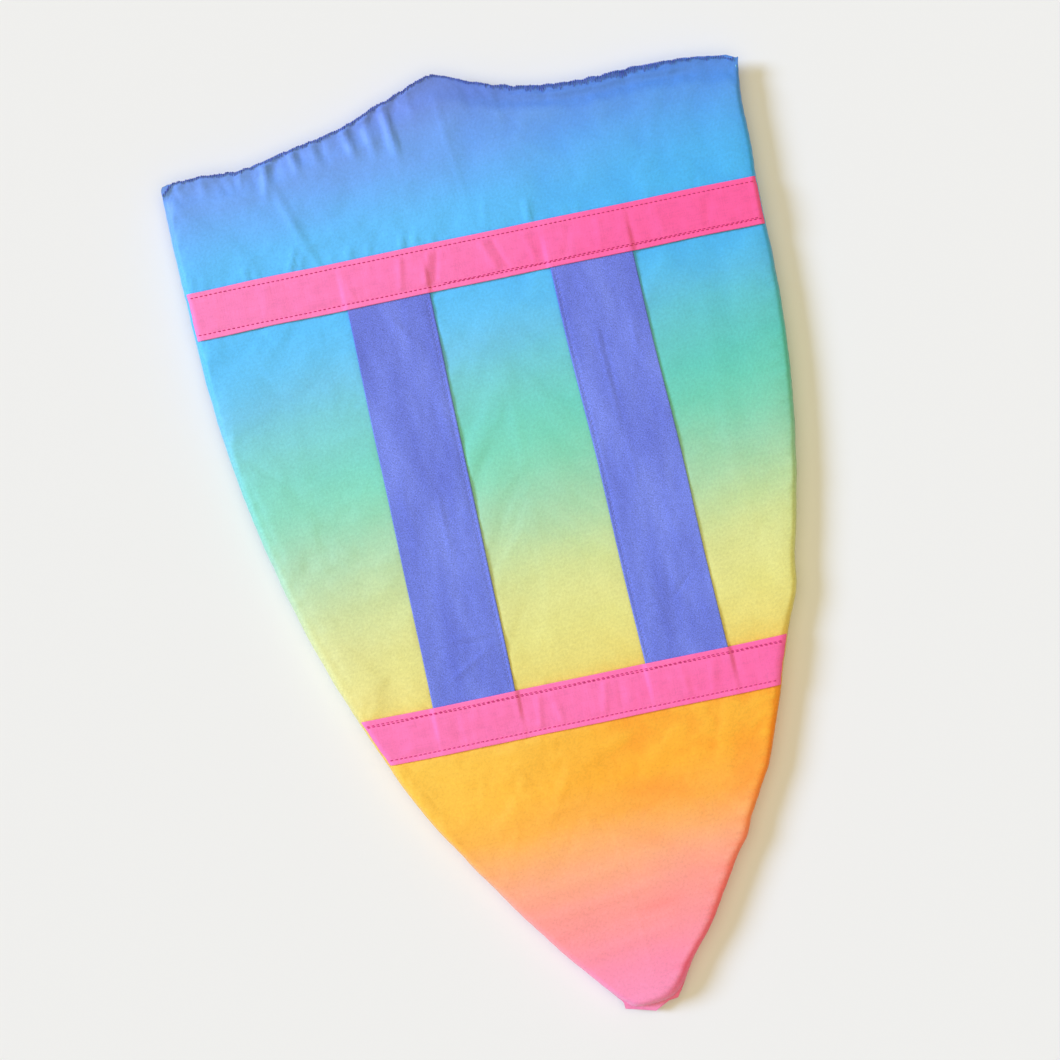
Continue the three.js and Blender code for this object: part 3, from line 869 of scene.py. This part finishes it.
def strap_stitches(name, part, material):
    """The stitches from a strap's middle to one of its ends."""
    strap = STRAP_FRAMES[name]
    sign, seed = (1, 122) if part == "upper" else (-1, 120)

    def place(s, drift):
        s, q = sign * s, strap.stitch_row + drift
        return grid(*strap.point(s, q), strap_top(name, s, q))

    paths = stitch_paths(0.0, strap.half_length + 1.0, place, seed, lift=0.06)
    return threads(f"{name}_strap_{part}_stitches", paths, STRAP_THREAD_RADIUS, material)


SIDE_SEAM_DROP = 34  # where the side seams' stitches begin
SIDE_SEAM_SHORT = 46  # how much shorter they are than the cover
SIDE_SEAM_INSET = 0.9


def make_side_seam(material):
    """Lockstitches down both sides just inside the seam, hidden by the turned cover."""
    paths = []
    for side, seed in ((-1, 88), (1, 89)):

        def place(s, drift):
            y = PEAK_Y - SIDE_SEAM_DROP - s
            x = side * (seam_line(y, side) - SIDE_SEAM_INSET + drift)
            return grid(x, y, seam_height(x, y) + 0.2)

        paths.append(stitch_paths(0, PEAK_Y - TIP_Y - SIDE_SEAM_SHORT, place, seed))
    return threads("side_seam_stitches", np.concatenate(paths), THREAD_RADIUS, material)


OVERLOCK_PITCH = 1.25
OVERLOCK_WIDTH = 1.7
OVERLOCK_LEAN = 0.45  # how far a loop leans to each side, as a share of the pitch
OVERLOCK_OUT = 0.25  # how far the loops stand out past the cover


def make_overlock(material):
    """Thread wound over the raw top edge. Each loop runs from the back, over the edge, to the front."""
    random = np.random.default_rng(91)
    count = int((CORNERS[-1] + CORNERS[1] - 2) / OVERLOCK_PITCH)
    xs = 1 - CORNERS[-1] + OVERLOCK_PITCH * (np.arange(count) + random.uniform(-0.12, 0.12, count))
    wide = 1 + 0.9 * window(xs, 20, 60, 116, 140)
    width = OVERLOCK_WIDTH * (wide * (1 + random.uniform(-0.4, 0.3, count)))[:, None]
    angle = np.linspace(-0.5 * math.pi, 0.5 * math.pi, 7)
    depth = np.concatenate([[1.0], 0.30 - 0.30 * np.cos(angle), [1.0]])
    rise = np.concatenate([[0.5], 0.62 * np.sin(angle[::-1]), [-0.5]])
    x = xs[:, None] + np.linspace(-OVERLOCK_LEAN, OVERLOCK_LEAN, len(depth)) * OVERLOCK_PITCH
    y = top_line(x) + OVERLOCK_OUT - width * depth
    z = TOP_SEAM_Z + 0.7 * rise + 0 * x
    return threads("top_overlock_loops", grid(x, y, z), THREAD_RADIUS, material)


FOAM_SIDE_GAP = 6.5  # from the side seams to the board
FOAM_TOP_GAP = 11.5
FOAM_TIP_GAP = 9
FOAM_TIP_HALF_WIDTH = 12.0
FOAM_HALF_THICKNESS = (3.2, 5.2)  # at its edge, and past its rounded edge
FOAM_EDGE = 2.5


def make_foam(material):
    """The board inside the cover, with rounded edges."""
    across = stations(2 * HALF_WIDTH, 1.5, 6.0) / HALF_WIDTH - 1
    a, b = np.meshgrid(across, stations(1.0, 0.003, 0.012))
    side = np.where(a < 0, -1, 1)
    edge_y = (1 - b) * (top_line(HALF_WIDTH * side) - 11) + b * (TIP_Y + 12)
    x = a * (seam_line(edge_y, side) - FOAM_SIDE_GAP)
    tip = bottom_line(a * FOAM_TIP_HALF_WIDTH) + FOAM_TIP_GAP + 5 * a**2
    y = (1 - b) * (top_line(a * HALF_WIDTH) - FOAM_TOP_GAP) + b * tip
    depth = np.minimum(np.minimum(side_inset(x, y) - 6.0, top_line(x) - y - 10.5), y - bottom_line(x) - 7)
    thin, thick = FOAM_HALF_THICKNESS
    half = thin + (thick - thin) * rounded(depth, FOAM_EDGE)
    outer, inner = [grid(x, y, THICKNESS / 2 + face * half) for face in (1, -1)]
    return add_mesh("foam_board", *shell(outer, inner), material)


# ---- materials

def linear(code):
    """A colour like '#57b8e6' as linear red, green, blue and alpha."""
    values = [int(code[i : i + 2], 16) / 255 for i in (1, 3, 5)]
    return [v / 12.92 if v <= 0.04045 else ((v + 0.055) / 1.055) ** 2.4 for v in values] + [1.0]


class Field:
    """A number, colour or vector that varies over a surface: one output of a node."""

    def __init__(self, paint, socket):
        self.paint, self.socket = paint, socket

    def __add__(self, other):
        return self.paint.maths("ADD", self, other)

    def __sub__(self, other):
        return self.paint.maths("SUBTRACT", self, other)

    def __rsub__(self, other):
        return self.paint.maths("SUBTRACT", other, self)

    def __mul__(self, other):
        return self.paint.maths("MULTIPLY", self, other)

    def spread(self, low, high, to_low=0.0, to_high=1.0):
        """Moves the range from low to high to another, and holds what lies beyond at its ends."""
        inputs = {"Value": self, "From Min": low, "From Max": high, "To Min": to_low, "To Max": to_high}
        return self.paint.node("ShaderNodeMapRange", inputs)

    def vary(self, size, middle=0.0):
        """Noise as a small change to either side of a middle."""
        return self.spread(0.3, 0.7, middle - size, middle + size)


class Paint:
    """A material's node tree, with short calls for the nodes that these cloths need."""

    def __init__(self, name, **sockets):
        self.material = bpy.data.materials.new(name)
        self.material.use_nodes = True
        self.nodes = self.material.node_tree.nodes
        self.links = self.material.node_tree.links
        self.shader = self.nodes["Principled BSDF"]
        for socket, value in sockets.items():
            self.shader.inputs[socket.replace("_", " ")].default_value = value
        self.place = self.node("ShaderNodeAttribute", {}, "Vector", attribute_name="rest_mm")

    def put(self, value, socket):
        if isinstance(value, Field):
            self.links.new(value.socket, socket)
        else:
            socket.default_value = value

    def node(self, kind, inputs, output=0, **settings):
        """Adds a node, fills its inputs by name or number, and returns one of its outputs."""
        node = self.nodes.new(kind)
        for name, value in settings.items():
            setattr(node, name, value)
        for socket, value in inputs.items():
            self.put(value, node.inputs[socket])
        return Field(self, node.outputs[output])

    def maths(self, operation, *values):
        return self.node("ShaderNodeMath", dict(enumerate(values)), operation=operation)

    def parts(self, vector):
        """A vector's X, Y and Z."""
        node = self.nodes.new("ShaderNodeSeparateXYZ")
        self.put(vector, node.inputs[0])
        return [Field(self, socket) for socket in node.outputs]

    def stretched(self, scale, turn):
        """The place, turned about Z and then scaled along each axis."""
        turned = self.node("ShaderNodeVectorRotate", {"Vector": self.place, "Angle": turn})
        return self.node("ShaderNodeVectorMath", {0: turned, 1: scale}, operation="MULTIPLY")

    def noise(self, scale, detail=2.0, roughness=0.5, turn=0.0):
        """Noise from 0 to 1; scale is features per millimetre along each axis."""
        place = self.stretched(scale, turn)
        inputs = {"Vector": place, "Scale": 1.0, "Detail": detail, "Roughness": roughness}
        return self.node("ShaderNodeTexNoise", inputs, "Fac")

    def ramp(self, value, stops):
        """Colours along a range from 0 to 1. The stops' positions increase."""
        node = self.nodes.new("ShaderNodeValToRGB")
        node.color_ramp.interpolation = "LINEAR"
        elements = node.color_ramp.elements
        while len(elements) < len(stops):
            elements.new(0.5)
        for element, (position, _) in zip(elements, stops):
            element.position = position
        for element, (_, colour) in zip(elements, stops):
            element.color = linear(colour)
        self.put(value, node.inputs["Fac"])
        return Field(self, node.outputs["Color"])

    def mix(self, share, first, second, blend="MIX"):
        inputs = {"Factor": share, "A": first, "B": second}
        return self.node("ShaderNodeMix", inputs, "Result", data_type="RGBA", blend_type=blend)

    def tint(self, colour, factor):
        """A colour made lighter or darker."""
        return self.node("ShaderNodeVectorMath", {0: colour, "Scale": factor}, operation="SCALE")

    def wave(self, turn, period):
        """Ridges from 0 to 1, a period in millimetres apart, which run along Y before the turn."""
        phase = self.parts(self.stretched((1 / period, 0, 0), turn))[0] * (2 * math.pi)
        return self.maths("SINE", phase) * 0.5 + 0.5

    def weave(self, pitch):
        """Threads both ways."""
        return self.maths("MAXIMUM", self.wave(0.0, pitch), self.wave(math.pi / 2, pitch))

    def bump(self, height, distance, strength):
        inputs = {"Height": height, "Distance": distance * MM, "Strength": strength}
        return self.node("ShaderNodeBump", inputs, "Normal")

    def finish(self, colour, roughness, normal):
        for value, socket in ((colour, "Base Color"), (roughness, "Roughness"), (normal, "Normal")):
            self.put(value, self.shader.inputs[socket])
        return self.material


# The dye, by distance down from the peak in millimetres.
DYE = [
    (0, "#6b85d8"), (15, "#6d8cde"), (30, "#6e9ceb"), (45, "#6aa5f2"), (60, "#63b1f8"), (75, "#5cbbfb"),
    (90, "#58bffc"), (120, "#57c0fb"), (135, "#60c3f6"), (150, "#6cc5e9"), (165, "#73ccd9"),
    (180, "#76d0cc"), (195, "#76d5c4"), (210, "#7dd7bc"), (225, "#8bd7b6"), (240, "#a1d7b1"),
    (255, "#b3d9aa"), (270, "#c6dc9f"), (285, "#d4de95"), (300, "#dedf8e"), (315, "#e3df86"),
    (335, "#e8d978"), (355, "#f3c856"), (375, "#f9b430"), (400, "#feaf2a"), (420, "#feac42"),
    (437, "#feae6a"), (452, "#fea883"), (467, "#fe9c8f"), (485, "#fe9499"), (505, "#fe8eae"),
    (530, "#fb90be"),
]
DYE_LENGTH = 540


def silk_material():
    paint = Paint("dyed_silk", Sheen_Weight=0.12, Sheen_Roughness=0.4, Specular_IOR_Level=0.36)
    x, y, z = paint.parts(paint.place)
    drop = PEAK_Y - y
    # The dye runs a few degrees off level between the blue and the yellow.
    drop = drop + x * 0.06 * drop.spread(80, 170) * drop.spread(300, 220)
    drop = drop + (paint.noise((0.012, 0.02, 0.0), 3.0) - 0.5) * 16.0
    drop = drop + (paint.noise((0.25, 0.25, 0.0)) - 0.5) * 5.0
    colour = paint.ramp(drop.spread(0, DYE_LENGTH), [(stop / DYE_LENGTH, code) for stop, code in DYE])
    # The blue and green are deeper in colour on the right.
    deep = x.spread(-30, 120) * drop.spread(290, 190)
    colour = paint.mix(deep, colour, linear("#ccf1f5"), "MULTIPLY")
    # The yellow reaches lower on the left.
    lower = drop.spread(350, 375) * drop.spread(440, 400) * x.spread(0, -90, 0.0, 0.32)
    colour = paint.mix(lower, colour, linear("#ffe665"))
    # Light coming through the loose cover deepens the colour of its rounded right edge low down.
    rim = z.spread(13.7, 12.9) * x.spread(0, 20) * drop.spread(330, 390, 0.2, 0.62)
    colour = paint.mix(rim, colour, colour, "MULTIPLY")
    # The green and yellow are a little paler on the left.
    pale = x.spread(-60, -130) * drop.spread(140, 220) * drop.spread(345, 330) * 0.07
    colour = paint.mix(pale, colour, linear("#ffffff"))
    # Painted shade: the front panel's colour is darkened where it turns under on the left, standing in for
    # its own shade there.
    under = z.spread(7.0, 4.5) * x.spread(40, 0) * drop.spread(150, 300, 0.55, 0.15)
    grain = paint.noise((0.75, 0.55, 0.0), 3.0, 0.75, turn=0.5)
    slub = paint.noise((0.05, 1.2, 0.0), roughness=0.6)
    patch = paint.noise((0.05, 0.02, 0.0))
    # Lightness from grain, slubs and patches, less the painted shade under the left edge.
    light = slub.vary(0.02, 1.0) + grain.vary(0.1) + patch.vary(0.025) - under
    height = paint.weave(0.42) * 0.5 + slub * 0.8 + grain * 0.8
    roughness = grain.spread(0.2, 0.8, 0.42, 0.54)
    return paint.finish(paint.tint(colour, light), roughness, paint.bump(height, 0.05, 0.6))


# The bands' pink, by distance to the right of the shield's axis. It changes less along the lower band.
PINKS = [(-150, "#ff84bf"), (0, "#fe76b4"), (60, "#fe69aa"), (105, "#fd61a2"), (150, "#fd5e9f")]
PINK_REACH = 160
LOWER_BAND_FADE = 0.5


def cotton_material():
    paint = Paint("pink_cotton", Sheen_Weight=0.15, Sheen_Roughness=0.5, Specular_IOR_Level=0.25)
    s, q, mark = paint.parts(paint.place)
    blotch = paint.noise((0.045, 0.06, 0.0), 3.0)
    place = (blotch - 0.5) * 60.0 + s * mark.spread(0, 1, 1.0, LOWER_BAND_FADE)
    stops = [((at + PINK_REACH) / (2 * PINK_REACH), code) for at, code in PINKS]
    colour = paint.ramp(place.spread(-PINK_REACH, PINK_REACH), stops)
    grain = paint.noise((0.9, 0.9, 0.0), 3.0, 0.7)
    across = paint.noise((0.06, 1.4, 0.0))
    along = paint.noise((1.4, 0.06, 0.0))
    patch = paint.noise((0.14, 0.2, 0.0), 3.0, 0.6)
    # The turned hems outside the stitches are lighter.
    hem = paint.maths("ABSOLUTE", q).spread(10.6, 11.4, 0.0, 0.05)
    light = grain.vary(0.06, 1.0) + across.vary(0.03) + along.vary(0.03) + patch.vary(0.05) + hem
    height = paint.weave(0.5) * 0.7 + grain + across + along
    roughness = grain.spread(0.3, 0.7, 0.72, 0.86)
    return paint.finish(paint.tint(colour, light), roughness, paint.bump(height, 0.09, 0.7))


def strap_material():
    paint = Paint("violet_noil", Sheen_Weight=0.2, Sheen_Roughness=0.5, Specular_IOR_Level=0.3)
    blotch = paint.noise((0.05, 0.016, 0.0), 3.0)
    speck = paint.noise((1.35, 1.2, 0.0), 3.0, 0.9, turn=0.6)
    fine = paint.noise((0.3, 0.3, 0.0), 3.0, 0.65)
    colour = paint.ramp(blotch, [(0.3, "#6472d4"), (0.5, "#7080e1"), (0.7, "#7c8dec")])
    light = speck.spread(0.38, 0.62, 0.72, 1.28) + fine.vary(0.06)
    height = paint.wave(math.radians(38), 0.7) * 0.4 + speck * 1.4 + fine
    roughness = speck.spread(0.3, 0.7, 0.8, 0.62)
    return paint.finish(paint.tint(colour, light), roughness, paint.bump(height, 0.12, 0.8))


def thread_material(name, dark, light):
    """Twisted thread, lighter and darker from stitch to stitch."""
    paint = Paint(name, Sheen_Weight=0.1, Specular_IOR_Level=0.35)
    patch = paint.noise((0.4, 0.4, 0.4))
    fibre = paint.noise((5.0, 5.0, 5.0), 2.0, 0.7, turn=0.5)
    colour = paint.tint(paint.ramp(patch, [(0.35, dark), (0.65, light)]), fibre.vary(0.15, 1.0))
    return paint.finish(colour, fibre.spread(0.3, 0.7, 0.55, 0.7), paint.bump(fibre, 0.05, 0.6))


def foam_material():
    paint = Paint("open_foam", Specular_IOR_Level=0.2)
    pores = paint.noise((1.6, 1.6, 1.6), 3.0, 0.7)
    colour = paint.ramp(paint.noise((0.05, 0.05, 0.05)), [(0.3, "#e9e3d0"), (0.7, "#f5f1e4")])
    colour = paint.tint(colour, pores.spread(0.35, 0.65, 0.86, 1.03))
    return paint.finish(colour, pores.spread(0.3, 0.7, 0.95, 0.85), paint.bump(pores, 0.5, 0.8))


# ---- the object

def keep_still(piece, node):
    """The piece takes the place of a CAD node, whose part is hidden, and stays on the shield."""
    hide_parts(node)
    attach(piece, "shield")


def build_cover():
    silk = silk_material()
    wrinkles = simulate_wrinkles(silk)
    for make, node in ((make_back, "back_panel"), (make_front, "front_panel")):
        piece = make(silk, wrinkles)
        keep_still(piece, node)

    foam = make_foam(foam_material())
    keep_still(foam, "foam_core")

    overlock = make_overlock(thread_material("overlock_thread", "#2b3da6", "#6678dc"))
    keep_still(overlock, "top_overlock")
    seam = make_side_seam(thread_material("seam_thread", "#5aa6c8", "#8fd0dd"))
    keep_still(seam, "side_seam_thread")


def build_bands():
    cotton = cotton_material()
    thread = thread_material("magenta_thread", "#c42a70", "#dc3c82")
    for name, band in BANDS.items():
        piece = make_band(name, cotton)
        keep_still(piece, name)
        left, right = band.ends(np.zeros(1), BAND_INSET)
        rows = {
            "top": (BAND_ROW, -HALF_WIDTH, 0.1),
            "bottom": (-BAND_ROW, -HALF_WIDTH, 0.1),
            "second": (*SECOND_ROWS[name], 0.35),
        }
        for seed, (row, facts) in enumerate(rows.items(), BAND_SEEDS[name]):
            stitches = band_stitches(name, row, *facts, seed, thread)
            keep_still(stitches, f"{name}_{row}_stitch")


def build_straps():
    noil = strap_material()
    thread = thread_material("violet_thread", "#7580e0", "#8f9af2")
    for name, strap in STRAP_FRAMES.items():
        body = f"{name}_strap_middle"
        for part, piece in make_strap_halves(name, noil).items():
            held = strap.half_length - 0.5
            start = (*np.array(strap.point(held if part == "upper" else -held, 0.0)) * MM, THICKNESS * MM)
            leg = f"{name}_strap_{part}_leg"
            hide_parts(f"{name}_strap_{part}_end", leg, body)
            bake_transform(piece)
            stitches = strap_stitches(name, part, thread)
            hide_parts(f"{leg}_stitch", f"{body}_stitch")
            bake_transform(stitches)


# ---- floor, light and camera

VIEW_TURN = math.radians(-13.6)  # the shield's axis leans to the left in the picture
VIEW_SPAN = 585.7 * MM  # width of the picture at the shield
VIEW_CENTRE = Vector((-5.7, 9.1, THICKNESS)) * MM
LENS, SENSOR = 85.0, 36.0
FLOOR_SIZE = 200.0
LIGHT_DISTANCE = 3.0
WARM = (1.0, 0.88, 0.59)
COOL = (0.50, 0.65, 1.0)


def add_sun(name, energy, colour, spread, direction):
    """A light on the picture's centre. direction is picture right, picture up and towards the camera."""
    light = bpy.data.lights.new(name, "SUN")
    light.energy, light.color, light.angle = energy, colour, math.radians(spread)
    lamp = bpy.data.objects.new(name, light)
    towards = (Matrix.Rotation(VIEW_TURN, 3, "Z") @ Vector(direction)).normalized()
    lamp.location = VIEW_CENTRE + LIGHT_DISTANCE * towards
    lamp.rotation_euler = towards.to_track_quat("Z", "Y").to_euler()
    bpy.context.scene.collection.objects.link(lamp)


def build_stage():
    bpy.ops.mesh.primitive_plane_add(size=FLOOR_SIZE, location=(0, 0, 0))
    floor = bpy.context.object
    floor.name = "floor"
    paint = Paint("pale_floor", Base_Color=(0.845, 0.845, 0.838, 1), Roughness=0.9, Specular_IOR_Level=0.1)
    floor.data.materials.append(paint.material)

    scene = bpy.context.scene
    scene.world = bpy.data.worlds.new("studio")
    scene.world.use_nodes = True
    background = scene.world.node_tree.nodes["Background"]
    background.inputs["Color"].default_value = (*WARM, 1)
    background.inputs["Strength"].default_value = 0.262
    add_sun("window", 3.58, COOL, 20, (-0.986, 0.163, 0.585))
    add_sun("softbox", 1.50, WARM, 80, (0.0, 0.0, 1.0))
    scene.view_settings.view_transform = "Standard"
    scene.view_settings.look = "None"

    camera = bpy.data.cameras.new("camera")
    camera.lens, camera.sensor_width = LENS, SENSOR
    camera.clip_start, camera.clip_end = 0.05, FLOOR_SIZE
    eye = bpy.data.objects.new("camera", camera)
    distance = VIEW_SPAN / 2 / (SENSOR / 2 / LENS)
    eye.location = VIEW_CENTRE + Vector((0, 0, distance))
    eye.rotation_euler = (0, 0, VIEW_TURN)
    scene.collection.objects.link(eye)
    scene.camera = eye


build_cover()
build_bands()
build_straps()
build_stage()
